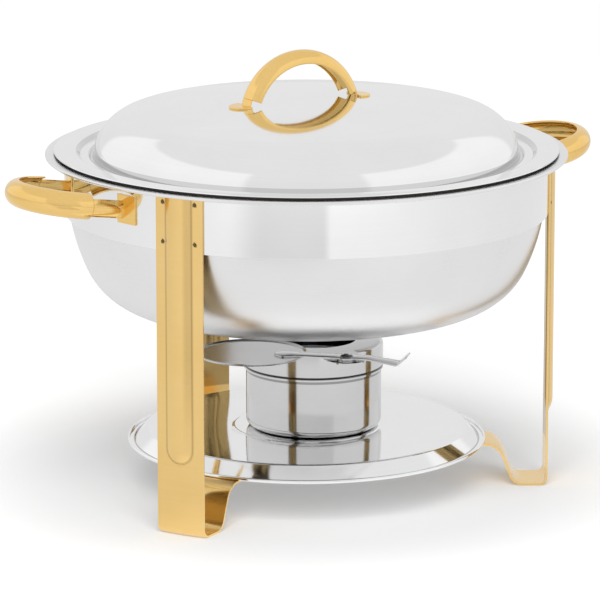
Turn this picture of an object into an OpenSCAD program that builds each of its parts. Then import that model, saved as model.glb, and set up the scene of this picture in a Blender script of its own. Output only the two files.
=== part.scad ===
/* [Pans] */
// Diameter over the water pan's rim
rim_d = 350; // [300:1:420]
// Thickness of the pan, lid, tray and fuel holder sheet
sheet = 0.8; // [0.7:0.1:1]
// Depth of the water pan, from its underside to the band's top edge
pan_depth = 104.8; // [87:0.1:126]
// Gap between the water pan's wall and the band
pan_gap = 0.6; // [0.4:0.1:1]
// Lean of the water pan's lower wall from upright, in degrees
pan_lean = 24; // [16:1:28]
// Height above the pan's underside at which its wall starts to lean
pan_lean_z = 57; // [46:1:58]
// Radius of the bend between the upright and the leaning wall
pan_shoulder_r = 140; // [60:1:150]
// Radius of the bend at the edge of the pan's flat bottom
pan_base_r = 48; // [24:1:50]
// Inside radius of the water pan's folded edge
rim_hem_r = 0.2; // [0.1:0.1:0.5]
// Clear height for water between the bottoms of the two pans
water_gap = 39.8; // [36:0.1:50]
// Gap between the lid's step and the food pan's opening
food_gap = 1; // [0.6:0.1:1.6]
// Distance from the rim's edge in to the food pan's own edge
food_edge_inset = 9.5; // [8:0.1:12]
// Slope of the food pan's wall from upright, in degrees
food_draft = 4; // [1:1:8]
// Radius of the bend at the food pan's bottom edge
food_base_r = 22; // [10:1:28]

/* [Lid] */
// Height of the corner between the dome's crown and its flank
shoulder_rise = 27.8; // [26:0.1:34]
// Distance from the rim's edge in to the foot of the dome
dome_inset = 32.2; // [31:0.1:34]
// Slope of the crown where its shoulder begins, in degrees
crown_slope = 7; // [6:0.5:8]
// Slope of the dome's flank, in degrees
flank_slope = 78; // [74:1:80]
// Radius of the dome's shoulder
dome_shoulder_r = 32; // [20:1:33]
// Depth of the locating groove around the foot of the dome
lid_groove = 1.4; // [1:0.1:1.8]
// Depth of the trough between the dome and the lid's flange
lid_step = 2.9; // [2:0.1:4]
// Distance from the rim's edge in to the lid's edge
lid_edge_inset = 5.8; // [5:0.1:8]
// Diameter of the lid handle's arch
lid_handle_d = 90; // [76:1:100]
// Height of the lid handle's top above the crown
lid_handle_rise = 33.7; // [30:0.1:40]
// Distance that the lid handle stands to the right of the lid's middle
lid_handle_x = -5; // [-6:0.5:6]

/* [Handles] */
// Width of the half round handle section
grip_w = 17.2; // [14:0.1:19]
// Thickness of the handle sheet
grip_t = 1.2; // [1:0.1:1.4]
// Length of a side handle from the band to its outer end
side_reach = 58.5; // [50:0.1:66]
// Width over a side handle's two arms
side_w = 80; // [66:1:92]
// Slope by which a side handle rises away from the band, in degrees
side_slope = 8.5; // [0:0.5:10]
// Distance from the band's top edge down to the middle of a side handle's tabs
side_drop = 16.2; // [15:0.1:19]
// Length of each welded tab
tab_l = 9; // [7:0.5:12]
// Width of each welded tab
tab_w = 19; // [16:0.5:20]
// Width that is left of the handle section where its side walls are cut back
web_w = 12; // [9:0.5:13]

/* [Stand] */
// Angle from the front to each front leg, in degrees
leg_az = 60; // [50:1:64]
// Angle from the front to the back leg, in degrees
back_az = 176; // [170:1:190]
// Height of the band
band_h = 38.9; // [32:0.1:46]
// Thickness of the band
band_t = 1; // [0.8:0.1:1.2]
// Distance from the rim's edge in to the band
band_inset = 12.6; // [11:0.1:14]
// Width of a leg
leg_w = 35; // [30:1:42]
// Thickness of a leg
leg_t = 1.5; // [1.2:0.1:1.8]
// Width of the pressed rib on a leg
rib_w = 18.6; // [15:0.1:22]
// Height of the pressed rib on a leg
rib_h = 3; // [2:0.1:3.6]
// Height above the floor of the rib's round lower end
rib_z = 49; // [40:1:60]
// Slope of the foot's rise to the tray, in degrees
foot_slope = 69; // [55:1:75]
// Inside radius of the bend from the leg to the floor
foot_bend_r = 4.5; // [3:0.5:6]
// Inside radius of the bend from the floor to the rise
rise_bend_r = 8; // [5:0.5:10]
// Radius of the bend at the top of the rise
tab_bend_r = 14; // [8:0.5:15]

/* [Fuel tray] */
// Gap between the legs and the tray's edge
tray_inset = 42.6; // [38:0.1:50]
// Height of the tray's lip above the floor
tray_lip_z = 29.3; // [24:0.1:35]
// Height of the tray's raised plateau above its lip
tray_rise = 9.7; // [8:0.1:12]
// Width of the tray's lip and skirt together
tray_skirt_w = 13.6; // [12:0.1:18]
// Depth of the ring that marks the fuel holder's place
tray_groove = 0.7; // [0.5:0.1:1]

/* [Fuel holder] */
// Outside diameter of the fuel cup's wall
cup_d = 91.6; // [80:0.1:110]
// Height of the fuel cup
cup_h = 42.3; // [36:0.1:51]
// Height of the cap above the cup
cap_h = 17.3; // [14:0.1:21]
// Inside radius of the cup's folded edge
cup_hem_r = 0.1; // [0.1:0.05:0.3]
// Gap all round between the cap's plug and the cup
cap_gap = 0.5; // [0.4:0.1:0.8]
// Depth to which the cap goes into the cup
cap_plug = 9; // [7:0.5:11]
// Diameter of the hole for the flame
hole_d = 56; // [46:1:62]
// Clear height between the cap and the water pan
flame_gap = 23.8; // [20:0.1:32]
// Distance that the loose fuel holder stands to the right of the tray's middle
holder_x = 4.2; // [-5:0.1:5]
// Distance that the loose fuel holder stands behind the tray's middle, less than 0 in front
holder_y = -2.4; // [-5:0.1:5]

/* [Damper] */
// Distance that the damper's rivet stands outside the cup's wall
pivot_out = 18.5; // [16:0.5:24]
// Direction of the rivet from the front, in degrees
pivot_az = -10.3; // [-20:0.1:20]
// Angle by which the damper stands open, in degrees
open_angle = 58.7; // [0:0.1:90]
// Diameter of the damper's disc
disc_d = 74; // [66:1:80]
// Gap between the damper's disc and the cap
disc_gap = 0.3; // [0.2:0.1:0.5]
// Width of the damper's arm
arm_w = 17; // [14:0.5:20]
// Thickness of the damper's arm
arm_t = 1; // [0.8:0.1:1.2]
// Length of the arm from the rivet to its tip on the disc
arm_l = 49; // [46:1:60]
// Length of the arm's tail from the rivet to its upturned end
tail_l = 35; // [30:1:42]
// Distance by which the tail dips before its upturned end
tail_dip = 3; // [0:0.5:4]
// Height of the tail's upturned end
tail_rise = 6; // [4:0.5:9]
// Diameter of the rivet
rivet_d = 4; // [3:0.1:5]
// Running gap between the rivet and the arm
rivet_gap = 0.05; // [0.02:0.01:0.1]

/* [Hidden] */
$fn = 96;
arc_error = 0.03;
flat = 0.2;
small_bend_r = sheet + 0.2;
far = 500;
polished = "gainsboro";
satin = "silver";
gilt = "goldenrod";
pale_gilt = "burlywood";

// Plan radii of the stand, and the heights that stack up from the floor
rim_r = rim_d / 2;
band_r = rim_r - band_inset;
leg_r = band_r + leg_t;
tray_r = leg_r - tray_inset;
tray_top = tray_lip_z + tray_rise;
cup_r = cup_d / 2;
cup_top = tray_top + cup_h;
cap_top = cup_top + cap_h;
pan_floor = cap_top + flame_gap;
band_top = pan_floor + pan_depth;

// Water pan and food pan
pan_r = band_r - band_t - pan_gap;
pan_heel_r = pan_r - pan_lean_z * tan(pan_lean);
pan_top_w = 1;
pan_shoulder = min(pan_shoulder_r, (pan_depth - pan_lean_z - pan_top_w) / tan(pan_lean / 2));
pan_wall = pan_lean_z / cos(pan_lean) - pan_shoulder * tan(pan_lean / 2);
pan_base = min(pan_base_r, (pan_wall - flat) / tan(45 - pan_lean / 2));
seat_bend_r = 0.8 * pan_gap;
food_seat = band_top + sheet;
food_depth = pan_depth - water_gap;
food_edge_r = rim_r - food_edge_inset;
food_bend_r = 1.5;

// Lid, worked out along its underside from the axis to the edge
lid_seat = food_seat + sheet;
trough_z = lid_seat - lid_step;
groove_z = trough_z - lid_groove;
groove_w = 2;
trough_w = 9;
step_w = 2.6;
lip_w = 3.4;
lip_h = 0.8;
dome_r = rim_r - dome_inset;
step_r = dome_r + trough_w + step_w;
food_r = step_r + food_gap + sheet;
lid_r = rim_r - lid_edge_inset;
shoulder_r = dome_r - shoulder_rise / tan(flank_slope);
shoulder_l = dome_shoulder_r * tan((flank_slope - crown_slope) / 2);
crown_w = (shoulder_r - (shoulder_l + flat) * cos(crown_slope)) / (1 + cos(crown_slope));
crown_r = crown_w / tan(crown_slope / 2);
crown_z = groove_z + shoulder_rise + (shoulder_r - crown_w) * tan(crown_slope);
crown_path = [[0, crown_z], [crown_w, crown_z], [shoulder_r, groove_z + shoulder_rise]];

// Handles
grip_r = grip_w / 2;
side_z = band_top - side_drop;
side_end_r = side_w / 2;
side_end_x = band_r + side_reach - side_end_r;
lid_handle_r = lid_handle_d / 2;
lid_handle_z = crown_z + sheet + lid_handle_rise - lid_handle_r;
lid_notch = 4.5;
lid_tab_l = 8;
lid_tab_tip = lid_handle_r + lid_tab_l;

// Legs and tray
rib_r = (rib_h * rib_h + rib_w * rib_w / 4) / (2 * rib_h);
rib_axis = leg_r + rib_h - rib_r;
leg_drop = 0.5;
foot_out = 10;
foot_lap = 9;
leg_top = band_top - leg_drop;
foot_top_r = tray_r + foot_out;
foot_base_r = foot_top_r + (tray_lip_z - leg_t) / tan(foot_slope);
foot_end_r = tray_r - foot_lap;
tray_slope_w = 8.8;
tray_edge_r = 2.5;
tray_foot_r = 2;
tray_roll_r = 1.1;
ring_gap = 5.2;
tray_groove_r = cup_r + ring_gap;

// Fuel cup and its cap
cup_base_r = 6;
cup_bead_h = 2;
cup_edge_r = cup_r + 2 * cup_hem_r + flat;
cap_r = cup_edge_r + sheet;
plug_r = cup_r - sheet - cap_gap;
cap_edge_r = 3;
cap_fold_r = sheet + 0.1;
plug_bend_r = 0.3;
hole_r = hole_d / 2;
hole_lip = 4;
hole_edge_r = 1.5;
ear_w = 26;

// Damper, on a rivet through the cap's ear
holder = [holder_x, holder_y, 0];
pivot_r = cup_r + pivot_out;
pivot = holder + pivot_r * [sin(pivot_az), -cos(pivot_az), 0];
rivet_r = rivet_d / 2;
rivet_head_r = 4.4;
rivet_head_h = 1.8;
rivet_tail_r = 3.6;
rivet_tail_h = 0.9;
washer_r = 6.5;
disc_z = cap_top + disc_gap;
disc_r = disc_d / 2;
disc_rim_w = 1.6;
disc_rim_h = 1.2;
arm_z = disc_z + sheet;
arm_bend_r = 3;
tail_slope = 42;
tail_start = ear_w / 2 + 1;
boss_r = 8;
neck_w = 12;

// Unit vector along v
function unit(v) = v / norm(v);

// Vector a quarter turn to the left of v
function left(v) = [-v[1], v[0]];

// The same list from last to first
function reversed(v) = [for (i = [len(v) - 1:-1:0]) v[i]];

// Number of chords that keep an arc within arc_error of round
function chords(r, bend) = max(2, ceil(bend * PI / 180 / sqrt(8 * arc_error / r)));

// Points of the rounded corner at b, between a and c, moved to the left by off
function corner(a, b, c, r, off) =
    let (
        u = unit(b - a),
        v = unit(c - b),
        side = sign(cross(u, v)),
        bend = acos(u * v),
        middle = b - u * r * tan(bend / 2) + side * r * left(u),
        start = -side * left(u),
        first = atan2(start[1], start[0]),
        n = chords(r + abs(off), bend)
    )
    [for (k = [0:n])
        let (turn = first + side * bend * k / n)
        middle + (r - side * off) * [cos(turn), sin(turn)]];

// One face of a bent sheet: the path with its corners rounded, moved to the left by off
function face(path, radii, off) =
    let (last = len(path) - 1)
    concat(
        [path[0] + off * left(unit(path[1] - path[0]))],
        [for (i = [1:last - 1])
            each corner(path[i - 1], path[i], path[i + 1], radii[i - 1], off)],
        [path[last] + off * left(unit(path[last] - path[last - 1]))]
    );

// Half turn of a rolled or folded edge, r to the inside of the turn, up or down from height z
function roll(edge, z, r, way) = [
    [edge, z],
    [edge, z + way * (2 * r + flat)],
    [edge - r - flat, z + way * (2 * r + flat)]
];

// Section of a sheet that lies between two offsets to the left of a path
module layer(path, radii, from, to) {
    polygon(concat(face(path, radii, from), reversed(face(path, radii, to))));
}

module spun(path, radii, t) {
    rotate_extrude() layer(path, radii, 0, t);
}

// Turns a piece made along +X to a direction counted from the front towards +X
module toward(azimuth) {
    rotate([0, 0, azimuth - 90]) children();
}

module frame_band() {
    color(polished)
    rotate_extrude()
    translate([band_r - band_t, band_top - band_h]) square([band_t, band_h]);
}

// Pressed rib: an upright bar of round section with a ball for its lower end
module rib_bar(r) {
    translate([rib_axis, 0, rib_z + rib_w / 2]) {
        cylinder(r = r, h = leg_top);
        sphere(r);
    }
}

module leg() {
    path = [
        [band_r, leg_top], [band_r, leg_t], [foot_base_r, leg_t],
        [foot_top_r, tray_lip_z], [foot_end_r, tray_lip_z]
    ];
    radii = [foot_bend_r, rise_bend_r, tab_bend_r];
    difference() {
        union() {
            intersection() {
                spun(path, radii, leg_t);
                translate([0, -leg_w / 2, 0]) cube([far, leg_w, far]);
            }
            intersection() {
                rib_bar(rib_r);
                rotate_extrude() translate([band_r + leg_t / 2, 0]) square([far, leg_top]);
            }
        }
        rib_bar(rib_r - leg_t);
    }
}

module leg_front_left() {
    color(pale_gilt) toward(-leg_az) leg();
}

module leg_front_right() {
    color(pale_gilt) toward(leg_az) leg();
}

module leg_back() {
    color(pale_gilt) toward(back_az) leg();
}

// Half round section of a handle, open on the side that the fingers touch
module grip_section() {
    difference() {
        circle(grip_r);
        circle(grip_r - grip_t);
        translate([-2 * grip_r, -grip_r]) square([2 * grip_r, 2 * grip_r]);
    }
}

// Straight arm from the axis to the bow, with the section's side walls cut back
module side_arm() {
    translate([0, side_end_r - grip_r, 0])
    rotate([90, 0, 90])
    linear_extrude(side_end_x)
    intersection() {
        grip_section();
        square([2 * grip_w, web_w], center = true);
    }
}

// Bow and two arms, made level
module side_bow() {
    translate([side_end_x, 0, 0])
    rotate([0, 0, -90])
    rotate_extrude(angle = 180)
    translate([side_end_r - grip_r, 0]) grip_section();
    for (s = [0, 1])
        mirror([0, s, 0]) side_arm();
}

// Tab that lies on the band behind the end of an arm and beside it
module side_tab() {
    start = asin((side_end_r - grip_r + grip_t) / band_r);
    sweep = asin((side_end_r + tab_l) / band_r) - start;
    rotate([0, 0, start])
    rotate_extrude(angle = sweep)
    translate([band_r, side_z - tab_w / 2]) square([grip_t, tab_w]);
}

module side_handle() {
    for (s = [0, 1])
        mirror([0, s, 0]) side_tab();
    difference() {
        translate([band_r, 0, side_z])
        rotate([0, -side_slope, 0])
        translate([-band_r, 0, 0]) side_bow();
        cylinder(r = band_r + grip_t / 2, h = far);
    }
}

module side_handle_left() {
    color(gilt) mirror([1, 0, 0]) side_handle();
}

module side_handle_right() {
    color(gilt) side_handle();
}

// Raised tray with a shallow ring that marks the fuel holder's place
module fuel_tray() {
    low = tray_top - sheet;
    g = tray_groove;
    slope_r = tray_r - tray_skirt_w;
    path = concat(
        [
            [0, low],
            [tray_groove_r - 3 * g, low], [tray_groove_r - g, low - g],
            [tray_groove_r + g, low - g], [tray_groove_r + 3 * g, low],
            [slope_r, low], [slope_r + tray_slope_w, tray_lip_z]
        ],
        roll(tray_r, tray_lip_z, tray_roll_r, 1)
    );
    bend = small_bend_r;
    radii = [bend, bend, bend, bend, tray_edge_r, tray_foot_r, tray_roll_r, tray_roll_r];
    color(polished) spun(path, radii, sheet);
}

module water_pan() {
    path = concat(
        [
            [0, pan_floor], [pan_heel_r, pan_floor],
            [pan_r, pan_floor + pan_lean_z], [pan_r, band_top]
        ],
        roll(rim_r - sheet, band_top, rim_hem_r, -1)
    );
    radii = [pan_base, pan_shoulder, seat_bend_r, rim_hem_r, rim_hem_r];
    color(satin) spun(path, radii, sheet);
}

module food_pan() {
    low = food_seat - food_depth;
    path = [
        [0, low], [food_r - food_depth * tan(food_draft), low],
        [food_r, food_seat], [food_edge_r, food_seat]
    ];
    color(satin) spun(path, [food_base_r, food_bend_r], sheet);
}

module lid_dome() {
    path = concat(
        crown_path,
        [
            [dome_r, groove_z], [dome_r + groove_w, groove_z],
            [dome_r + groove_w + lid_groove, trough_z], [dome_r + trough_w, trough_z],
            [step_r, lid_seat], [lid_r - lip_w, lid_seat], [lid_r, lid_seat + lip_h]
        ]
    );
    bend = small_bend_r;
    radii = [crown_r, dome_shoulder_r, bend, bend, bend, bend, bend, bend];
    color(polished) spun(path, radii, sheet);
}

// Column over the round-ended foot of the lid handle
module lid_tab() {
    tip_r = tab_w / 2;
    translate([lid_tab_tip - tip_r, 0, 0]) cylinder(r = tip_r, h = far);
    translate([lid_handle_r - grip_r / 2, -tip_r, 0])
    cube([lid_tab_tip - tip_r - lid_handle_r + grip_r / 2, tab_w, far]);
}

module lid_handle() {
    skin = face(crown_path, [crown_r], sheet);
    color(gilt) {
        difference() {
            translate([lid_handle_x, 0, lid_handle_z])
            rotate([90, 0, 0])
            rotate_extrude(angle = 180)
            translate([lid_handle_r - grip_r, 0]) grip_section();
            rotate_extrude() polygon(concat(skin, [[shoulder_r, 0], [0, 0]]));
            for (s = [-1, 1])
                translate([0, s * (web_w + grip_w) / 2, crown_z + sheet])
                cube([far, grip_w, 2 * lid_notch], center = true);
        }
        for (s = [0, 1])
            intersection() {
                rotate_extrude() layer(crown_path, [crown_r], sheet, sheet + grip_t);
                translate([lid_handle_x, 0, 0]) mirror([s, 0, 0]) lid_tab();
            }
    }
}

module fuel_cup() {
    path = [
        [0, tray_top], [cup_r, tray_top], [cup_r, cup_top - sheet],
        [cup_edge_r, cup_top - sheet], [cup_edge_r, cup_top - cup_bead_h]
    ];
    color(polished)
    translate(holder) spun(path, [cup_base_r, cup_hem_r, cup_hem_r], sheet);
}

// Ear of the cap that carries the damper's rivet
module cap_ear() {
    start = hole_r + 2 * hole_edge_r;
    toward(pivot_az)
    translate([0, 0, cap_top - sheet]) {
        translate([start, -ear_w / 2, 0]) cube([pivot_r - start, ear_w, sheet]);
        translate([pivot_r, 0, 0]) cylinder(d = ear_w, h = sheet);
    }
}

module fuel_cap() {
    path = [
        [hole_r, cap_top - hole_lip], [hole_r, cap_top], [cap_r, cap_top],
        [cap_r, cup_top], [plug_r, cup_top], [plug_r, cup_top - cap_plug]
    ];
    color(polished)
    difference() {
        translate(holder) {
            spun(path, [hole_edge_r, cap_edge_r, cap_fold_r, plug_bend_r], -sheet);
            cap_ear();
        }
        translate(pivot) cylinder(r = rivet_r, h = far);
    }
}

module damper_rivet() {
    base = arm_z + arm_t + rivet_gap;
    ball_r = (rivet_head_h * rivet_head_h + rivet_head_r * rivet_head_r) / (2 * rivet_head_h);
    tail_z = cap_top - sheet - rivet_tail_h;
    color(satin)
    translate(pivot) {
        translate([0, 0, tail_z]) cylinder(r = rivet_r, h = base - tail_z + rivet_head_h / 2);
        translate([0, 0, tail_z]) cylinder(r = rivet_tail_r, h = rivet_tail_h);
        intersection() {
            translate([0, 0, base + rivet_head_h - ball_r]) sphere(ball_r);
            translate([0, 0, base]) cylinder(r = 2 * rivet_head_r, h = rivet_head_h);
        }
    }
}

module damper_washer() {
    color(polished)
    translate(pivot + [0, 0, cap_top])
    difference() {
        cylinder(r = washer_r, h = arm_z - rivet_gap - cap_top);
        translate([0, 0, -1]) cylinder(r = rivet_r + rivet_gap, h = far);
    }
}

// Moves a piece made with the rivet at the origin and the disc towards -X into place
module on_rivet() {
    translate(pivot) rotate([0, 0, pivot_az + open_angle - 90]) children();
}

module damper_disc() {
    path = [[0, disc_z], [disc_r - disc_rim_w, disc_z], [disc_r, disc_z + disc_rim_h]];
    color(polished)
    on_rivet()
    difference() {
        translate([-pivot_r, 0, 0]) spun(path, [small_bend_r], sheet);
        translate([-arm_l, -arm_w / 2, arm_z]) cube([arm_l, arm_w, far]);
    }
}

// Strip of the arm, seen from above: narrow past the rivet and wide at the tail
module arm_outline() {
    end = tail_l + 2 * tail_rise;
    polygon([
        [arm_w / 2 - arm_l, neck_w / 2], [tail_l / 2, neck_w / 2], [end, arm_w / 2],
        [end, -arm_w / 2], [tail_l / 2, -neck_w / 2], [arm_w / 2 - arm_l, -neck_w / 2]
    ]);
}

module damper_arm() {
    path = [
        [-arm_l, 0], [tail_start, 0], [tail_l, -tail_dip],
        [tail_l + tail_rise / tan(tail_slope), tail_rise - tail_dip]
    ];
    color(polished)
    on_rivet()
    translate([0, 0, arm_z])
    difference() {
        union() {
            intersection() {
                translate([0, arm_w, 0])
                rotate([90, 0, 0])
                linear_extrude(2 * arm_w) layer(path, [arm_bend_r, arm_bend_r], 0, arm_t);
                translate([0, 0, -tail_l]) linear_extrude(2 * tail_l) arm_outline();
            }
            translate([arm_w / 2 - arm_l, 0, 0]) cylinder(d = arm_w, h = arm_t);
            cylinder(r = boss_r, h = arm_t);
        }
        translate([0, 0, -1]) cylinder(r = rivet_r + rivet_gap, h = arm_t + 2);
    }
}

frame_band();
leg_front_left();
leg_front_right();
leg_back();
side_handle_left();
side_handle_right();
fuel_tray();
water_pan();
food_pan();
lid_dome();
lid_handle();
fuel_cup();
fuel_cap();
damper_rivet();
damper_washer();
damper_disc();
damper_arm();
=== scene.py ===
import math

import bpy
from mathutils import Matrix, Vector


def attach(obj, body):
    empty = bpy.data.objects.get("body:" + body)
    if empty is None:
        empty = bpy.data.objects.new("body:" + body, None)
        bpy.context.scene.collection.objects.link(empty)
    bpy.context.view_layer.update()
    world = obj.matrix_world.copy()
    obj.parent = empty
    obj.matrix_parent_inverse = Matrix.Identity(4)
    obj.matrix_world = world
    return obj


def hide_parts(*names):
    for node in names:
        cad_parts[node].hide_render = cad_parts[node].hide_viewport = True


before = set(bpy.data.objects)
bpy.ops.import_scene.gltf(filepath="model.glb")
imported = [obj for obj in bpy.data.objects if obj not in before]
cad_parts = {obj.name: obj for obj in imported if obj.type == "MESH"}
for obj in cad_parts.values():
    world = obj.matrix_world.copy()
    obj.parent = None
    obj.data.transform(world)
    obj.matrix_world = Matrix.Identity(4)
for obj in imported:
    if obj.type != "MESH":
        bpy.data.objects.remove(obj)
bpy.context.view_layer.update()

# Carrying band: an upright ring of polished stainless strip, rolled round and butt welded.
# The legs and the side handles are spot welded to its outside, and the water pan hangs in it.
mm = 0.001
band_r = 162.4 * mm
band_t = 1.0 * mm
band_top = 227.2 * mm
band_h = 38.9 * mm
band_edge = 0.3 * mm
around = 288
seam_gap = 0.002 * mm


def left_of(way):
    """A quarter turn to the left, in the plane of a section."""
    return Vector((-way.y, way.x))


def bent(path, bends, offset):
    """The line of a bent sheet: each corner of the path rounded, and the line moved to its left."""
    fewest_steps, widest_step, longest_step = 5, 5, 4 * mm
    points = [Vector(p) for p in path]
    line = [points[0] + offset * left_of((points[1] - points[0]).normalized())]
    for a, b, c, bend_r in zip(points, points[1:], points[2:], bends):
        u, v = (b - a).normalized(), (c - b).normalized()
        side = 1 if u.x * v.y - u.y * v.x > 0 else -1
        bend = u.angle(v)
        middle = b - u * bend_r * math.tan(bend / 2) + side * bend_r * left_of(u)
        start = -side * left_of(u)
        first = math.atan2(start.y, start.x)
        reach = bend_r - side * offset
        steps = max(
            fewest_steps,
            math.ceil(math.degrees(bend) / widest_step),
            math.ceil(bend * bend_r / longest_step),
        )
        for k in range(steps + 1):
            turn = first + side * bend * k / steps
            line.append(middle + reach * Vector((math.cos(turn), math.sin(turn))))
    line.append(points[-1] + offset * left_of((points[-1] - points[-2]).normalized()))
    return line


def drawn(name, points):
    """A line of points, extruded one from the next from a plane merged to its centre."""
    bpy.ops.object.select_all(action="DESELECT")
    bpy.ops.mesh.primitive_plane_add(size=mm)
    piece = bpy.context.object
    piece.name = piece.data.name = name
    bpy.ops.object.mode_set(mode="EDIT")
    bpy.ops.mesh.merge(type="CENTER")
    bpy.ops.transform.translate(value=points[0])
    for a, b in zip(points, points[1:]):
        step = tuple(q - p for p, q in zip(a, b))
        bpy.ops.mesh.extrude_vertices_move(TRANSFORM_OT_translate={"value": step})
    bpy.ops.mesh.select_all(action="SELECT")
    return piece


def closed(piece, smooth=30):
    """Merges seams and poles, turns the faces outwards and shades the curves smooth."""
    bpy.ops.object.mode_set(mode="EDIT")
    bpy.ops.mesh.select_all(action="SELECT")
    bpy.ops.mesh.remove_doubles(threshold=seam_gap)
    bpy.ops.mesh.normals_make_consistent(inside=False)
    bpy.ops.object.mode_set(mode="OBJECT")
    bpy.ops.object.shade_smooth_by_angle(angle=math.radians(smooth))
    return piece


def turned(name, section):
    """A round piece: its section drawn in the plane of X and Z, and spun round the dish's axis."""
    piece = drawn(name, [(p[0], 0, p[1]) for p in section])
    bpy.ops.mesh.spin(steps=around, angle=math.tau, center=(0, 0, 0), axis=(0, 0, 1))
    return closed(piece)


class Tap:
    """An output in a node tree: sums and products with numbers or other taps add Math nodes."""

    def __init__(self, tree, socket):
        self.tree, self.socket = tree, socket

    def node(self, kind, settings, sockets, out=0):
        """Adds a node with its settings and its sockets' values or links, and taps one output."""
        made = self.tree.nodes.new(kind)
        for key, value in settings.items():
            setattr(made, key, value)
        for key, value in sockets.items():
            if isinstance(value, Tap):
                self.tree.links.new(value.socket, made.inputs[key])
            else:
                made.inputs[key].default_value = value
        return Tap(self.tree, made.outputs[out])

    def other(self, out):
        """Taps another output of the same node."""
        return Tap(self.tree, self.socket.node.outputs[out])

    def sums(self, operation, a, b):
        return self.node("ShaderNodeMath", {"operation": operation}, {0: a, 1: b})

    def __add__(self, b):
        return self.sums("ADD", self, b)

    def __radd__(self, b):
        return self.sums("ADD", b, self)

    def __sub__(self, b):
        return self.sums("SUBTRACT", self, b)

    def __rsub__(self, b):
        return self.sums("SUBTRACT", b, self)

    def __mul__(self, b):
        return self.sums("MULTIPLY", self, b)

    def __rmul__(self, b):
        return self.sums("MULTIPLY", b, self)

    def __pow__(self, b):
        return self.sums("POWER", self, b)


def metal(name, dark, pale, rough, rough_spread, lines, line_depth):
    """A metal with cloudy colour, fine rubbed lines round the axis and a gentle wave in the sheet,
    that is painted dark where the piece is marked, as painted shade or weld marks. lines sets how
    many rubbed lines lie in a metre."""
    cloud_share, rub_share = 0.7, 0.3
    slant = 6
    wave_depth = 0.01 * mm
    # Colour of the painted shade where a piece is marked, and of its weld marks.
    shade_and_weld_colour = (0.02, 0.015, 0.01, 1)
    material = bpy.data.materials.new(name)
    material.use_nodes = True
    tree = material.node_tree
    shader = tree.nodes["Principled BSDF"]
    shader.inputs["Metallic"].default_value = 1
    place = Tap(tree, tree.nodes.new("ShaderNodeTexCoord").outputs["Object"])
    x = place.node("ShaderNodeSeparateXYZ", {}, {"Vector": place})
    y, z = x.other(1), x.other(2)
    radius = (x * x + y * y) ** 0.5
    across = place.node(
        "ShaderNodeCombineXYZ", {}, {"X": radius * lines, "Y": z * lines, "Z": (x - y) * slant}
    )
    rub = place.node("ShaderNodeTexNoise", {}, {"Vector": across, "Scale": 1.0, "Detail": 3.0})
    cloud = place.node("ShaderNodeTexNoise", {}, {"Vector": place, "Scale": 22.0, "Detail": 4.0})
    swell = place.node("ShaderNodeTexNoise", {}, {"Vector": place, "Scale": 14.0, "Detail": 1.0})
    tint = place.node(
        "ShaderNodeMix",
        {"data_type": "RGBA"},
        {"Factor": cloud * cloud_share + rub * rub_share, "A": (*dark, 1), "B": (*pale, 1)},
        out="Result",
    )
    mark = place.node("ShaderNodeAttribute", {"attribute_name": "mark"}, {}, out="Fac")
    tint = place.node(
        "ShaderNodeMix", {"data_type": "RGBA"}, {"Factor": mark, "A": tint, "B": shade_and_weld_colour}, out="Result"
    )
    tree.links.new(tint.socket, shader.inputs["Base Color"])
    smear = (cloud - 0.5) * rough_spread + (rub - 0.5) * rough_spread + rough
    tree.links.new(smear.socket, shader.inputs["Roughness"])
    height = rub * line_depth + swell * wave_depth
    relief = place.node(
        "ShaderNodeBump", {}, {"Height": height, "Strength": 1.0, "Distance": 1.0}
    )
    tree.links.new(relief.socket, shader.inputs["Normal"])
    return material


def placed(piece, node, body, material):
    """The piece stands for a CAD node, moves with its body and takes its finish."""
    piece.data.materials.clear()
    piece.data.materials.append(material)
    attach(piece, body)
    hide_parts(node)


polished = metal(
    "polished_steel", dark=(0.80, 0.80, 0.805), pale=(0.90, 0.90, 0.90),
    rough=0.07, rough_spread=0.05, lines=900, line_depth=0.0004 * mm,
)
band_low, band_in = band_top - band_h, band_r - band_t
band_path = [
    (band_r - band_t / 2, band_low), (band_r, band_low), (band_r, band_top), (band_in, band_top),
    (band_in, band_low), (band_r - band_t / 2, band_low),
]
band = turned("band", bent(band_path, [band_edge] * 4, 0))
placed(band, "frame_band", "frame", polished)

# Legs: strips of pale gold plated steel with a rib pressed down the middle for stiffness.
# Each one is spot welded to the band, bent under at the floor, and rises again to hold the tray.
leg_t = 1.5 * mm
leg_w = 35.0 * mm
leg_r = band_r + leg_t
leg_top = band_top - 0.5 * mm
leg_edge = 0.3 * mm
leg_step, leg_strips, leg_spare = 1.0 * mm, 80, 0.01
upright_r, upright_z = band_r - 3 * mm, 60 * mm
rib_w, rib_h, rib_edge = 18.6 * mm, 3.0 * mm, 0.12 * mm
rib_r = (rib_h**2 + rib_w**2 / 4) / (2 * rib_h)
rib_end = 49.0 * mm + rib_w / 2
tray_r = 121.3 * mm
tray_lip_z = 29.3 * mm
foot_slope = math.radians(69)
foot_bends = [4.5 * mm, 8.0 * mm, 14.0 * mm]
foot_top_r = tray_r + 10 * mm
foot_base_r = foot_top_r + (tray_lip_z - leg_t) / math.tan(foot_slope)
foot_end_r = tray_r - 9 * mm
weld_r, weld_flatness = 1.3 * mm, 0.4
weld_y, weld_heights = 12.0 * mm, (220.5 * mm, 194.6 * mm)
weld_places = [(side * weld_y, z) for side in (-1, 1) for z in weld_heights]
weld_mark_r, weld_dark = 1.05 * weld_r, 0.85
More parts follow.
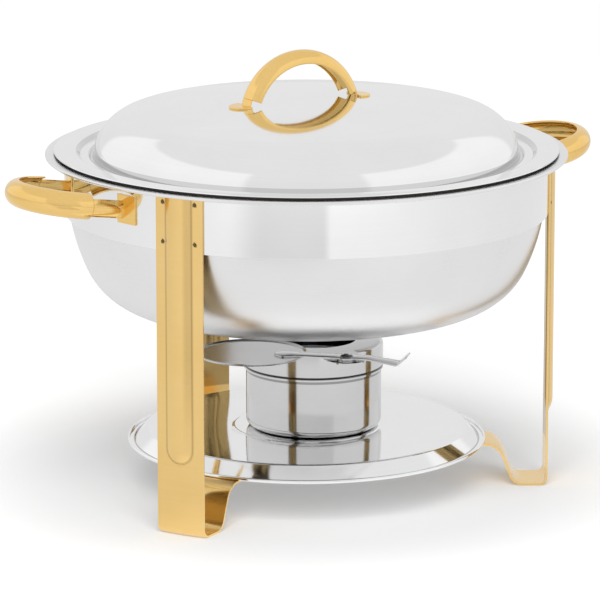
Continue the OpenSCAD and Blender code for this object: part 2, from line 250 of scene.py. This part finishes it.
# Painted shade: each leg's inside face and a line along the rib's edge are painted darker.
inner_lean, inner_z, inner_shade = -0.3, 28 * mm, 0.45
rib_line_r, rib_line_fade, rib_line_shade = 9.7 * mm, 2 * mm, 0.45
leg_places = {"leg_front_right": 60, "leg_front_left": -60, "leg_back": 176}
pale_gilt = metal(
    "pale_gilt", dark=(0.78, 0.52, 0.18), pale=(0.91, 0.65, 0.29),
    rough=0.18, rough_spread=0.08, lines=700, line_depth=0.0006 * mm,
)


def divided(line, longest):
    """The line with points added so that no step is longer than longest."""
    out = [line[0]]
    for a, b in zip(line, line[1:]):
        parts = max(1, math.ceil((b - a).length / longest))
        out += [a.lerp(b, k / parts) for k in range(1, parts + 1)]
    return out


def rib_height(v):
    """How far the rib stands out of the leg's face at a point of that face."""
    past = max(0.0, rib_end - v.z)
    room = rib_r**2 - v.y**2 - past**2
    if v.x < upright_r or room <= 0:
        return 0.0
    face = math.sqrt(leg_r**2 - v.y**2)
    out = leg_r + rib_h - rib_r + math.sqrt(room) - face
    return min(rib_h, 0.5 * (out + math.hypot(out, rib_edge)))


def facing(piece, way, counts):
    """Turns the faces of an open sheet so that those that count lean the given way."""
    bpy.ops.mesh.select_all(action="SELECT")
    bpy.ops.mesh.normals_make_consistent(inside=False)
    bpy.ops.object.mode_set(mode="OBJECT")
    if sum(face.normal.dot(way) for face in piece.data.polygons if counts(face)) < 0:
        bpy.ops.object.mode_set(mode="EDIT")
        bpy.ops.mesh.flip_normals()
        bpy.ops.object.mode_set(mode="OBJECT")


def alone(piece):
    """Makes the piece the only one selected."""
    bpy.ops.object.select_all(action="DESELECT")
    piece.select_set(True)
    bpy.context.view_layer.objects.active = piece


def finished(piece, kind, **settings):
    """Adds one modifier to the piece and applies it."""
    alone(piece)
    modifier = piece.modifiers.new(kind, kind)
    for key, value in settings.items():
        setattr(modifier, key, value)
    bpy.ops.object.modifier_apply(modifier=modifier.name)


def deburred(piece, width):
    """Rounds the piece's sharp edges."""
    finished(piece, "BEVEL", width=width, segments=2, limit_method="ANGLE", angle_limit=1.0)


def copied(piece, name):
    """A copy with a mesh of its own."""
    alone(piece)
    bpy.ops.object.duplicate()
    copy = bpy.context.object
    copy.name = copy.data.name = name
    return copy


def marked(piece, domain, darkness):
    """Gives each point or face of the piece how dark it is painted there, as painted shade or weld
    marks.
    """
    layer = piece.data.attributes.new("mark", "FLOAT", domain)
    for part in piece.data.vertices if domain == "POINT" else piece.data.polygons:
        layer.data[part.index].value = darkness(part)


def leg_mark(vertex):
    """Painted shade on the inside face and along the rib's edge, and dark weld marks round the weld
    dimples.
    """
    v = vertex.co
    if vertex.normal.x < inner_lean and v.x > upright_r and v.z > inner_z:
        return inner_shade
    if min(math.hypot(v.y - y, v.z - z) for y, z in weld_places) < weld_mark_r:
        return weld_dark
    from_line = abs(math.hypot(v.y, max(0, rib_end - v.z)) - rib_line_r)
    return max(0, rib_line_shade - from_line / rib_line_fade)


def brought(piece, turn=(0, 0, 0), by=(0, 0, 0)):
    """Turns the piece by degrees round X, Y and Z, moves it, and applies both."""
    alone(piece)
    piece.rotation_euler = [math.radians(angle) for angle in turn]
    piece.location = by
    bpy.ops.object.transform_apply(location=True, rotation=True, scale=False)
    return piece


leg_path = [
    (band_r, leg_top), (band_r, leg_t), (foot_base_r, leg_t), (foot_top_r, tray_lip_z),
    (foot_end_r, tray_lip_z),
]
leg_line = divided(bent(leg_path, foot_bends, leg_t), leg_step)
leg_sweep = math.asin(leg_w / 2 / foot_end_r) + leg_spare
leg = drawn(
    "front_right_leg",
    [(p[0] * math.cos(leg_sweep), -p[0] * math.sin(leg_sweep), p[1]) for p in leg_line],
)
bpy.ops.mesh.spin(steps=leg_strips, angle=2 * leg_sweep, center=(0, 0, 0), axis=(0, 0, -1))
for side in (-1, 1):
    bpy.ops.mesh.select_all(action="SELECT")
    bpy.ops.mesh.bisect(
        plane_co=(0, side * leg_w / 2, 0), plane_no=(0, side, 0), clear_outer=True
    )
facing(leg, Vector((1, 0, 0)), lambda face: face.center.z > upright_z)
pressed = leg.vertex_groups.new(name="rib")
for vertex in leg.data.vertices:
    pressed.add([vertex.index], rib_height(vertex.co) / rib_h, "REPLACE")
finished(leg, "DISPLACE", vertex_group="rib", direction="X", strength=rib_h, mid_level=0)
finished(leg, "SOLIDIFY", thickness=leg_t, offset=-1, use_even_offset=True)
deburred(leg, leg_edge)
bpy.ops.object.mode_set(mode="EDIT")
for y, z in weld_places:
    bpy.ops.mesh.primitive_uv_sphere_add(
        segments=20, ring_count=10, radius=weld_r,
        location=(math.sqrt(leg_r**2 - y**2), y, z), scale=(weld_flatness, 1, 1),
    )
closed(leg, smooth=40)
marked(leg, "POINT", leg_mark)
legs = [leg, copied(leg, "front_left_leg"), copied(leg, "back_leg")]
for piece, (node, azimuth) in zip(legs, leg_places.items()):
    brought(piece, turn=(0, 0, azimuth - 90))
    placed(piece, node, "frame", pale_gilt)

# Side handles: half round channels of gold plated steel, bent to a bow that rises from the band.
# The channel is open to the fingers, its side walls are cut back beside the band, and its web
# ends in tabs that are welded on.
grip_r, grip_t = 8.6 * mm, 1.2 * mm
grip_edge = 0.25 * mm
web_half = math.asin(6.0 * mm / grip_r)
# The inside of the handles' channels is painted darker, as painted shade.
inside_r, inside_shade = grip_r - 0.9 * grip_t, 0.2
side_z = band_top - 16.2 * mm
side_slope = 8.5
side_end_r = 40.0 * mm
side_end_x = 58.5 * mm - side_end_r
bow_steps, tab_steps = 96, 16
arm_y = side_end_r - grip_r
arm_end = math.sqrt((band_r + grip_t / 2) ** 2 - side_end_r**2) - band_r
tab_l, tab_w = 9.0 * mm, 19.0 * mm
tab_first = math.asin((arm_y + grip_t) / band_r)
tab_last = math.asin((side_end_r + tab_l) / band_r)
gilt = metal(
    "gilt", dark=(0.77, 0.48, 0.14), pale=(0.98, 0.70, 0.28),
    rough=0.10, rough_spread=0.05, lines=500, line_depth=0.0005 * mm,
)


def channel(half):
    """Closed section of the half round channel within an angle each side of its web, as depth
    and height. It has a step for each 4 degrees or less."""
    steps = 2 * math.ceil(math.degrees(half) / 4)
    turns = [half * (2 * k / steps - 1) for k in range(steps + 1)]
    outer = [(grip_r * math.cos(t), grip_r * math.sin(t)) for t in turns]
    inner = [((grip_r - grip_t) * math.cos(t), (grip_r - grip_t) * math.sin(t)) for t in turns]
    return outer + inner[::-1] + outer[:1]


def filled(piece):
    """Merges the drawn loop's ends and closes the open ends of an extrusion."""
    bpy.ops.mesh.select_all(action="SELECT")
    bpy.ops.mesh.remove_doubles(threshold=seam_gap)
    bpy.ops.mesh.fill_holes(sides=0)
    return closed(piece, smooth=40)


def joined(name, pieces):
    """Several shells of one piece as one object."""
    bpy.ops.object.select_all(action="DESELECT")
    for piece in pieces:
        piece.select_set(True)
    bpy.context.view_layer.objects.active = pieces[0]
    bpy.ops.object.join()
    pieces[0].name = pieces[0].data.name = name
    return pieces[0]


def bow_mark(face):
    """Painted shade: the inside of the channel is painted darker."""
    x, y, z = face.center
    from_axis = math.hypot(math.hypot(max(0, x - side_end_x), y) - arm_y, z)
    return inside_shade * (from_axis < inside_r)


bow = drawn("bow", [(side_end_x, -arm_y - d, h) for d, h in channel(math.pi / 2)])
bpy.ops.mesh.spin(
    steps=bow_steps, angle=math.pi, center=(side_end_x, 0, 0), axis=(0, 0, -1)
)
shells = [filled(bow)]
for side in (-1, 1):
    arm = drawn("arm", [(side_end_x, side * (arm_y + d), h) for d, h in channel(web_half)])
    to_band = {"value": (arm_end - side_end_x, 0, 0)}
    bpy.ops.mesh.extrude_edges_move(TRANSFORM_OT_translate=to_band)
    shells.append(filled(arm))
bow = joined("bow", shells)
marked(bow, "FACE", bow_mark)
shells = [brought(bow, turn=(0, -side_slope, 0), by=(band_r, 0, side_z))]
for side in (-1, 1):
    loop = [(0, -1), (0, 1), (1, 1), (1, -1), (0, -1)]
    corners = [(band_r + a * grip_t, side_z + b * tab_w / 2) for a, b in loop]
    start = math.cos(tab_first), side * math.sin(tab_first)
    tab = drawn("tab", [(r * start[0], r * start[1], z) for r, z in corners])
    bpy.ops.mesh.spin(
        steps=tab_steps, angle=side * (tab_last - tab_first), center=(0, 0, 0), axis=(0, 0, -1)
    )
    shells.append(filled(tab))
side_right = joined("right_handle", shells)
deburred(side_right, grip_edge)
side_left = copied(side_right, "left_handle")
brought(side_left, turn=(0, 0, 180))
placed(side_right, "side_handle_right", "frame", gilt)
placed(side_left, "side_handle_left", "frame", gilt)

# Fuel tray: a round of polished sheet pressed up into a plateau, with a ring that marks the
# cup's place. Its rolled lip rests on the three feet and is welded to them.
sheet = 0.8 * mm
flat = 0.2 * mm
small_bend = sheet + flat
tray_top = tray_lip_z + 9.7 * mm
tray_low = tray_top - sheet
tray_roll = 1.1 * mm
ring_r = 51.0 * mm
ring_d = 0.7 * mm
slope_r = tray_r - 13.6 * mm
slope_bends = [2.5 * mm, 2.0 * mm]
valley_r = slope_r + 8.8 * mm
# The valley at the foot of the slope is painted darker, as painted shade.
valley_half, valley_shade = 1.3 * mm, 0.45


def wall(path, bends, thickness):
    """Closed section of a sheet of that thickness on the left of a path."""
    section = bent(path, bends, 0) + bent(path, bends, thickness)[::-1]
    return section + section[:1]


def roll(edge, z, inside, way):
    """Corners of a rolled edge that turns up or down by half a turn."""
    far = z + way * (2 * inside + flat)
    return [(edge, z), (edge, far), (edge - inside - flat, far)]


def tray_mark(face):
    """Painted shade in the valley at the foot of the slope."""
    in_valley = abs(face.center.xy.length - valley_r) < valley_half
    return valley_shade * (in_valley and face.normal.z > 0)


tray_path = [
    (0, tray_low), (ring_r - 3 * ring_d, tray_low), (ring_r - ring_d, tray_low - ring_d),
    (ring_r + ring_d, tray_low - ring_d), (ring_r + 3 * ring_d, tray_low),
    (slope_r, tray_low), (valley_r, tray_lip_z), *roll(tray_r, tray_lip_z, tray_roll, 1),
]
tray_bends = [small_bend] * 4 + slope_bends + [tray_roll] * 2
tray = turned("fuel_tray_sheet", wall(tray_path, tray_bends, sheet)[:-1])
marked(tray, "FACE", tray_mark)
placed(tray, "fuel_tray", "frame", polished)

# Water pan: a deep bowl, pressed from satin stainless sheet, that keeps the food pan in hot water.
# It hangs loose in the band by the flange under its rolled rim.
rim_r = 175.0 * mm
rim_hem = 0.2 * mm
pan_r = band_r - band_t - 0.6 * mm
pan_floor = band_top - 104.8 * mm
pan_lean, pan_lean_z = math.radians(24), 57.0 * mm
pan_heel_r = pan_r - pan_lean_z * math.tan(pan_lean)
pan_heel, pan_shoulder, pan_lip = 48.0 * mm, 140.0 * mm, 0.48 * mm
satin = metal(
    "satin_steel", dark=(0.76, 0.76, 0.765), pale=(0.88, 0.88, 0.88),
    rough=0.3, rough_spread=0.1, lines=1400, line_depth=0.002 * mm,
)
pan_path = [
    (0, pan_floor), (pan_heel_r, pan_floor), (pan_r, pan_floor + pan_lean_z), (pan_r, band_top),
    *roll(rim_r - sheet, band_top, rim_hem, -1),
]
pan_bends = [pan_heel, pan_shoulder, pan_lip, rim_hem, rim_hem]
water_pan = turned("water_bowl", wall(pan_path, pan_bends, sheet)[:-1])
placed(water_pan, "water_pan", "water_pan", satin)

# Food pan: a shallow pan of the same satin sheet that holds the food.
# Its flat flange lies on the water pan's, under the lid, and its edge is painted dark as the shadow
# in the gap under the lid.
food_seat = band_top + sheet
food_depth = 65.0 * mm
food_floor = food_seat - food_depth
food_r = 156.2 * mm
food_heel_r = food_r - food_depth * math.tan(math.radians(4))
food_bends = [22.0 * mm, 1.5 * mm]
food_flange_r = rim_r - 9.5 * mm
food_edge_r = food_flange_r - 0.2 * mm
# How dark the painted shadow in the gap under the lid's edge is, on the food pan's edge and the
# lid's underside.
gap_shade = 0.95
food_path = [
    (0, food_floor), (food_heel_r, food_floor), (food_r, food_seat), (food_flange_r, food_seat)
]
food_pan = turned("food_tray", wall(food_path, food_bends, sheet)[:-1])
# The flange's cut edge is painted dark, as painted shadow in the gap under the lid.
marked(food_pan, "FACE", lambda face: gap_shade * (face.center.xy.length > food_edge_r))
placed(food_pan, "food_pan", "food_pan", satin)

# Lid: a dome with a nearly flat crown, pressed from mirror polished sheet.
# A trough round its foot drops into the food pan, and the flange outside that lies on the pan's.
lid_seat = food_seat + sheet
trough_z = lid_seat - 2.9 * mm
groove_z = trough_z - 1.4 * mm
dome_r = rim_r - 32.2 * mm
groove_r, trough_r = dome_r + 2.0 * mm, dome_r + 3.4 * mm
step_r, flange_r = dome_r + 9.0 * mm, dome_r + 11.6 * mm
lid_r = rim_r - 5.8 * mm
# Painted shade: the underside of the lid's edge and the trough's two sides are painted darker.
lip_w, lip_h, lip_shade_w = 3.4 * mm, 0.8 * mm, 4.0 * mm
under_lean, trough_shade = -0.1, 0.25
shoulder_rise = 27.8 * mm
shoulder_z = groove_z + shoulder_rise
crown_slope, flank_slope = math.radians(7), math.radians(78)
shoulder_bend = 32.0 * mm
shoulder_r = dome_r - shoulder_rise / math.tan(flank_slope)
shoulder_l = shoulder_bend * math.tan((flank_slope - crown_slope) / 2) + flat
crown_w = (shoulder_r - shoulder_l * math.cos(crown_slope)) / (1 + math.cos(crown_slope))
crown_bend = crown_w / math.tan(crown_slope / 2)
crown_z = shoulder_z + (shoulder_r - crown_w) * math.tan(crown_slope)


def lid_mark(face):
    """Painted shadow under the edge, and painted shade on the trough's two sides."""
    reach = face.center.xy.length
    if face.normal.z < under_lean:
        return gap_shade * (reach > lid_r - lip_shade_w)
    return trough_shade * (dome_r < reach < trough_r or step_r < reach < flange_r)


lid_path = [
    (0, crown_z), (crown_w, crown_z), (shoulder_r, shoulder_z), (dome_r, groove_z),
    (groove_r, groove_z), (trough_r, trough_z), (step_r, trough_z), (flange_r, lid_seat),
    (lid_r - lip_w, lid_seat), (lid_r, lid_seat + lip_h),
]
lid_bends = [crown_bend, shoulder_bend] + [small_bend] * 6
lid = turned("lid_shell", wall(lid_path, lid_bends, sheet)[:-1])
marked(lid, "FACE", lid_mark)
placed(lid, "lid_dome", "lid", polished)

# Lid handle: the same half round channel bent to an arch, gold plated.
# Its side walls are cut back at the feet, and two round ended tabs are welded on the crown.
lid_grip_r = 45.0 * mm
lid_grip_x = -5.0 * mm
crown_top = crown_z + sheet
lid_grip_z = crown_top + 33.7 * mm - lid_grip_r
cut_turn = math.asin((crown_top + 4.5 * mm - lid_grip_z) / lid_grip_r)
foot_turn = math.asin((crown_z + 0.2 * mm - lid_grip_z) / lid_grip_r)
foot_start, foot_end = 41.5 * mm, lid_grip_r + 8.0 * mm


def arched(half, start, end):
    """The channel's section spun up from one angle over the crown to another."""
    fewest_steps, widest_step = 6, 0.035
    points = []
    for d, h in channel(half):
        reach = lid_grip_r - grip_r + d
        along, up = reach * math.cos(start), reach * math.sin(start)
        points.append((lid_grip_x + along, h, lid_grip_z + up))
    shell = drawn("arch", points)
    steps = max(fewest_steps, math.ceil((end - start) / widest_step))
    bpy.ops.mesh.spin(
        steps=steps, angle=end - start, center=(lid_grip_x, 0, lid_grip_z), axis=(0, 1, 0)
    )
    return filled(shell)


def tongue(start, middle, half, steps):
    """Outline of a strip that begins at start and ends in a half round about middle."""
    turns = [math.pi * (k / steps - 0.5) for k in range(steps + 1)]
    round_end = [(middle + half * math.cos(t), half * math.sin(t)) for t in turns]
    return [(start, half), (start, -half), *round_end, (start, half)]


def on_crown(x, y):
    """The point of the crown's top at that place."""
    return x, y, crown_top - (x**2 + y**2) / (2 * crown_bend)


def arch_mark(face):
    """Painted shade: the inside of this channel is painted darker too."""
    x, y, z = face.center
    from_axis = math.hypot(math.hypot(x - lid_grip_x, z - lid_grip_z) - lid_grip_r + grip_r, y)
    return inside_shade * (from_axis < inside_r)


shells = [
    arched(math.pi / 2, cut_turn, math.pi - cut_turn),
    arched(web_half, foot_turn, cut_turn),
    arched(web_half, math.pi - cut_turn, math.pi - foot_turn),
]
foot_outline = tongue(foot_start, foot_end - tab_w / 2, tab_w / 2, steps=24)
for side in (-1, 1):
    foot = drawn("foot", [on_crown(lid_grip_x + side * x, y) for x, y in foot_outline])
    bpy.ops.mesh.extrude_edges_move(TRANSFORM_OT_translate={"value": (0, 0, grip_t)})
    shells.append(filled(foot))
lid_handle = joined("lid_handle_arch", shells)
marked(lid_handle, "FACE", arch_mark)
deburred(lid_handle, grip_edge)
placed(lid_handle, "lid_handle", "lid", gilt)

# Fuel cup: a straight cup of steel sheet, painted darker for the shade under the dish, with a
# folded edge that takes a tin of fuel.
# It stands loose in the tray's ring, a little to one side.
cup_r = 45.8 * mm
cup_top = tray_top + 42.3 * mm
cup_heel = 6.0 * mm
hem = 0.1 * mm
hem_r = cup_r + 2 * hem + flat
hem_end = cup_top - 2.0 * mm
# Painted shade: the seam on top of the folded edge and the wall under it are painted darker.
seam_shade_end = cup_top - 4.0 * mm
seam_shade_over, seam_shade_under = 0.7, 0.5
holder = Vector((4.2 * mm, -2.4 * mm, 0))
# Steel of the fuel holder, damper and washer: the same steel as the tray, painted darker as the
# shade under the dish.
shade_darkened_steel = metal(
    "steel_darkened_for_shade", dark=(0.56, 0.56, 0.565), pale=(0.68, 0.68, 0.68),
    rough=0.12, rough_spread=0.08, lines=1100, line_depth=0.001 * mm,
)


def cup_mark(face):
    """Painted shade on top of the folded edge and under it."""
    reach, z = face.center.xy.length, face.center.z
    if z < seam_shade_end or reach < cup_r - hem:
        return 0.0
    return seam_shade_over if z > cup_top - sheet else seam_shade_under * (reach < hem_r - hem)


cup_path = [
    (0, tray_top), (cup_r, tray_top), (cup_r, seam_shade_end), (cup_r, cup_top - sheet),
    (hem_r, cup_top - sheet), (hem_r, hem_end),
]
cup = turned("fuel_cup_body", wall(cup_path, [cup_heel, hem, hem, hem], sheet)[:-1])
marked(cup, "FACE", cup_mark)
brought(cup, by=holder)
placed(cup, "fuel_cup", "fuel_holder", shade_darkened_steel)

# Cap of the fuel holder: steel sheet, painted darker like the cup's for shade, with a hole for the
# flame, whose plug drops into the cup as far as the shoulder. An ear stands out at the front for
# the damper's rivet.
cap_r = hem_r + sheet
cap_top = cup_top + 17.3 * mm
cap_bends = [1.5 * mm, 3.0 * mm, sheet + 0.1 * mm, 0.3 * mm]
plug_r, plug_l = cup_r - sheet - 0.5 * mm, 9.0 * mm
hole_r, hole_lip = 28.0 * mm, 4.0 * mm
pivot_azimuth = -10.3
pivot_turn = math.radians(pivot_azimuth)
pivot_r = cup_r + 18.5 * mm
pivot = holder + pivot_r * Vector((math.sin(pivot_turn), -math.cos(pivot_turn), 0))
ear_start, ear_half, ear_t = 31.0 * mm, 13.0 * mm, sheet - 0.02 * mm
# Painted shade: the cap's edge in the seam over the cup is painted darker.
seam_r, seam_z, cap_seam_shade = plug_r + 1.0 * mm, cup_top + 0.9 * mm, 0.8


def cap_mark(face):
    """Painted shade in the seam over the cup's edge."""
    return cap_seam_shade * (face.center.xy.length > seam_r and face.center.z < seam_z)


cap_path = [
    (hole_r, cap_top - hole_lip), (hole_r, cap_top), (cap_r, cap_top), (cap_r, cup_top),
    (plug_r, cup_top), (plug_r, cup_top - plug_l),
]
cap = turned("cap", wall(cap_path, cap_bends, -sheet))
ear_outline = tongue(ear_start, pivot_r, ear_half, steps=32)
ear = drawn("ear", [(x, y, cap_top - sheet) for x, y in ear_outline])
bpy.ops.mesh.extrude_edges_move(TRANSFORM_OT_translate={"value": (0, 0, ear_t)})
filled(ear)
brought(ear, turn=(0, 0, pivot_azimuth - 90))
cap = joined("fuel_cap_body", [cap, ear])
marked(cap, "FACE", cap_mark)
brought(cap, by=holder)
placed(cap, "fuel_cap", "fuel_cap", shade_darkened_steel)

# Damper: a dished disc of steel sheet, painted darker like the cup's for shade, that swings over
# the flame hole to choke the flame.
# Its arm is welded on top, turns on the rivet, and ends in a turned up finger tail.
disc_z = cap_top + 0.3 * mm
disc_r = 37.0 * mm
disc_lip_w, disc_lip_h = 1.6 * mm, 1.2 * mm
arm_z, arm_t, arm_w = disc_z + sheet, 1.0 * mm, 17.0 * mm
arm_l, arm_step, arm_edge, arm_least = 49.0 * mm, 0.8 * mm, 0.2 * mm, 0.4 * mm
tail_start, tail_l, tail_dip, tail_rise = 14.0 * mm, 35.0 * mm, 3.0 * mm, 6.0 * mm
tail_slope, tail_bend = math.radians(42), 3.0 * mm
boss_r, neck_half = 8.0 * mm, 6.0 * mm
damper_turn = pivot_azimuth + 58.7 - 90
away = math.radians(damper_turn)
disc_at = pivot - pivot_r * Vector((math.cos(away), math.sin(away), 0))
disc_path = [(0, disc_z), (disc_r - disc_lip_w, disc_z), (disc_r, disc_z + disc_lip_h)]
disc = turned("damper_plate", wall(disc_path, [small_bend], sheet)[:-1])
brought(disc, by=disc_at)
placed(disc, "damper_disc", "damper", shade_darkened_steel)


def arm_half(x):
    """Half the arm's width at a distance along it from the rivet, the tail being positive."""
    half = arm_w / 2
    tip = x + arm_l - half
    round_tip = math.sqrt(max(0.0, half**2 - tip**2)) if tip < half else 0.0
    boss = math.sqrt(max(0.0, boss_r**2 - x**2))
    along_tail = max(0.0, x - tail_l / 2) / (tail_l / 2 + 2 * tail_rise)
    flare = neck_half + along_tail * (half - neck_half)
    return max(round_tip, boss, flare if tip > 0 else 0.0, arm_least)


tail_path = [
    (-arm_l, 0), (tail_start, 0), (tail_l, -tail_dip),
    (tail_l + tail_rise / math.tan(tail_slope), tail_rise - tail_dip),
]
arm_line = divided(bent(tail_path, [tail_bend] * 2, 0), arm_step)
arm = drawn("damper_strip", [(p[0], -arm_half(p[0]), arm_z + p[1]) for p in arm_line])
bpy.ops.mesh.extrude_edges_move(TRANSFORM_OT_translate={"value": (0, 0, 0)})
bpy.ops.transform.resize(value=(1, -1, 1), center_override=(0, 0, 0))
facing(arm, Vector((0, 0, 1)), lambda face: True)
finished(arm, "SOLIDIFY", thickness=arm_t, offset=1, use_even_offset=True)
deburred(arm, arm_edge)
closed(arm, smooth=40)
brought(arm, turn=(0, 0, damper_turn), by=pivot)
placed(arm, "damper_arm", "damper", shade_darkened_steel)

# Rivet and washer: a round headed steel rivet, upset under the cap's ear, that the damper turns on.
# The washer on it keeps the arm level with the top of the disc.
running_gap = 0.05 * mm
rivet_r = 2.0 * mm
head_r, head_h, head_steps = 4.4 * mm, 1.8 * mm, 12
head_z = arm_z + arm_t + running_gap
head_ball_r = (head_h**2 + head_r**2) / (2 * head_h)
upset_r, upset_h, upset_edge = 3.6 * mm, 0.9 * mm, 0.3 * mm
ear_z = cap_top - sheet
upset_z = ear_z - upset_h
rivet_rim_r, rivet_rim_shade = 2.6 * mm, 0.75
rivet_line = [
    (0, upset_z), (upset_r - upset_edge, upset_z), (upset_r, upset_z + upset_edge),
    (upset_r, ear_z), (rivet_r, ear_z), (rivet_r, head_z), (head_r, head_z),
]
for k in range(1, head_steps + 1):
    lean = math.asin(head_r / head_ball_r) * (1 - k / head_steps)
    drop = head_ball_r * (1 - math.cos(lean))
    rivet_line.append((head_ball_r * math.sin(lean), head_z + head_h - drop))
rivet = turned("damper_pin", rivet_line)
# Painted shade: the rim of the head and the upset end are painted darker.
marked(rivet, "FACE", lambda face: rivet_rim_shade * (face.center.xy.length > rivet_rim_r))
brought(rivet, by=pivot)
placed(rivet, "damper_rivet", "fuel_cap", satin)

washer_in, washer_mid, washer_out = rivet_r + running_gap, 4.0 * mm, 6.5 * mm
washer_top, washer_edge = arm_z - running_gap, 0.2 * mm
washer_path = [
    (washer_mid, cap_top), (washer_out, cap_top), (washer_out, washer_top),
    (washer_in, washer_top), (washer_in, cap_top), (washer_mid, cap_top),
]
washer = turned("damper_spacer", bent(washer_path, [washer_edge] * 4, 0))
brought(washer, by=pivot)
placed(washer, "damper_washer", "fuel_cap", shade_darkened_steel)

# Floor: a wide pale sheet, lifted to white for the camera, that keeps the dish's soft shadow.
# What the metal mirrors of it is plainer, brighter close to the legs in front, and grey in a
# sector out of the picture. Directions are in degrees, distances in metres.
floor_w = 30
pale_floor, dull_floor = (0.8, 0.8, 0.8, 1), (0.36, 0.36, 0.36, 1)
shade_lift, open_lift, far_lift = 0.09, 0.3, 0.1
open_from, far_from = (0.15, 0.32), (1.0, 4.0)
mirror_lift, near_lift, grey_drop = 0.55, 0.17, 0.22
near_left, near_right, near_until = (-80, -60), (50, 30), (0.28, 0.16)
grey_left, grey_right, grey_from = (-66, -48), (-19, -23), (0.4, 0.6)
bpy.ops.object.select_all(action="DESELECT")
bpy.ops.mesh.primitive_plane_add(size=floor_w)
floor = bpy.context.object
floor.name = floor.data.name = "floor"
floor_paint = bpy.data.materials.new("floor")
floor_paint.use_nodes = True
tree = floor_paint.node_tree
tree.nodes.remove(tree.nodes["Principled BSDF"])
seen = Tap(tree, tree.nodes.new("ShaderNodeLightPath").outputs["Is Camera Ray"])
mirrored = seen.other("Is Glossy Ray")
place = Tap(tree, tree.nodes.new("ShaderNodeTexCoord").outputs["Object"])


def ease(value, start, end):
    """Rises smoothly from 0 at start to 1 at end."""
    return value.node(
        "ShaderNodeMapRange",
        {"interpolation_type": "SMOOTHSTEP"},
        {"Value": value, "From Min": start, "From Max": end},
    )


def heading(place):
    """A place's direction from the dish, in degrees from the front towards +X, and its distance
    in plan."""
    x = place.node("ShaderNodeSeparateXYZ", {}, {"Vector": place})
    y = x.other(1)
    return x.sums("ARCTAN2", x, 0 - y) * math.degrees(1), (x * x + y * y) ** 0.5


azimuth, reach = heading(place)
near = ease(azimuth, *near_left) * ease(azimuth, *near_right) * ease(reach, *near_until)
grey = ease(azimuth, *grey_left) * ease(azimuth, *grey_right) * ease(reach, *grey_from)
pale = seen.node("ShaderNodeBsdfDiffuse", {}, {"Color": pale_floor})
dull = seen.node("ShaderNodeBsdfDiffuse", {}, {"Color": dull_floor})
paint = seen.node("ShaderNodeMixShader", {}, {0: mirrored, 1: pale, 2: dull})
white = shade_lift + ease(reach, *open_from) * open_lift + ease(reach, *far_from) * far_lift
glow = seen * white + mirrored * (mirror_lift + near * near_lift - grey * grey_drop)
lift = seen.node("ShaderNodeEmission", {}, {"Color": glow})
both = seen.node("ShaderNodeAddShader", {}, {0: paint, 1: lift})
tree.links.new(both.socket, tree.nodes["Material Output"].inputs["Surface"])
floor.data.materials.append(floor_paint)

# Studio: a white tent all round, with a broad brighter panel on the left and the right of the dish.
# A soft light over the camera, that the metal doesn't mirror, lights the floor up to the tray.
tent_glow, top_glow, panel_glow, plain_glow = 0.84, 0.05, 0.15, 0.62
top_from, panel_until = (0.0, 0.5), (0.68, 0.63)
panel_azimuths, panel_outer, panel_inner = (-120, 60), 59, 53
view_azimuth = -30
lamp_rise, lamp_far, lamp_w, lamp_power = 42, 3.2, 2.4, 75
world = bpy.data.worlds.new("studio")
bpy.context.scene.world = world
world.use_nodes = True
tree = world.node_tree
seen = Tap(tree, tree.nodes.new("ShaderNodeLightPath").outputs["Is Camera Ray"])
mirrored = seen.other("Is Glossy Ray")
place = Tap(tree, tree.nodes.new("ShaderNodeTexCoord").outputs["Generated"])
height = place.node("ShaderNodeSeparateXYZ", {}, {"Vector": place}, out=2)
azimuth = heading(place)[0]
walls = tent_glow + ease(height, *top_from) * top_glow
for middle in panel_azimuths:
    panel = ease(azimuth, middle - panel_outer, middle - panel_inner)
    panel = panel * ease(azimuth, middle + panel_outer, middle + panel_inner)
    walls = walls + panel * ease(height, *panel_until) * panel_glow
strength = seen + mirrored * walls + (1 - seen - mirrored) * plain_glow
tree.links.new(strength.socket, tree.nodes["Background"].inputs["Strength"])
tree.nodes["Background"].inputs["Color"].default_value = (1, 1, 1, 1)


def toward(azimuth, rise):
    """The direction from the dish to what stands at an azimuth and a rise, in degrees."""
    turn, rise = math.radians(azimuth), math.radians(rise)
    level = math.cos(rise)
    return Vector((level * math.sin(turn), -level * math.cos(turn), math.sin(rise)))


def aimed(thing, way):
    """Turns a lamp or a camera that stands that way from the dish back to it."""
    thing.rotation_euler = (-way).to_track_quat("-Z", "Y").to_euler()


way = toward(view_azimuth, lamp_rise)
bpy.ops.object.light_add(type="AREA", location=lamp_far * way)
lamp = bpy.context.object
lamp.name = lamp.data.name = "front light"
lamp.data.shape, lamp.data.size, lamp.data.energy = "SQUARE", lamp_w, lamp_power
lamp.visible_glossy = False
aimed(lamp, way)

# Camera: a long lens on the left of the dish's front, a little above its rim.
# Its shift only frames the dish.
look = Vector((0, 0, 0.1518))
camera_rise, camera_far = 12.38, 2.9057
way = toward(view_azimuth, camera_rise)
bpy.ops.object.camera_add(location=look + camera_far * way)
camera = bpy.context.object
aimed(camera, way)
camera.data.lens = 258.8
camera.data.shift_x, camera.data.shift_y = -0.0109, -0.0648
camera.data.clip_end = 50
bpy.context.scene.camera = camera
bpy.context.scene.view_settings.view_transform = "Standard"
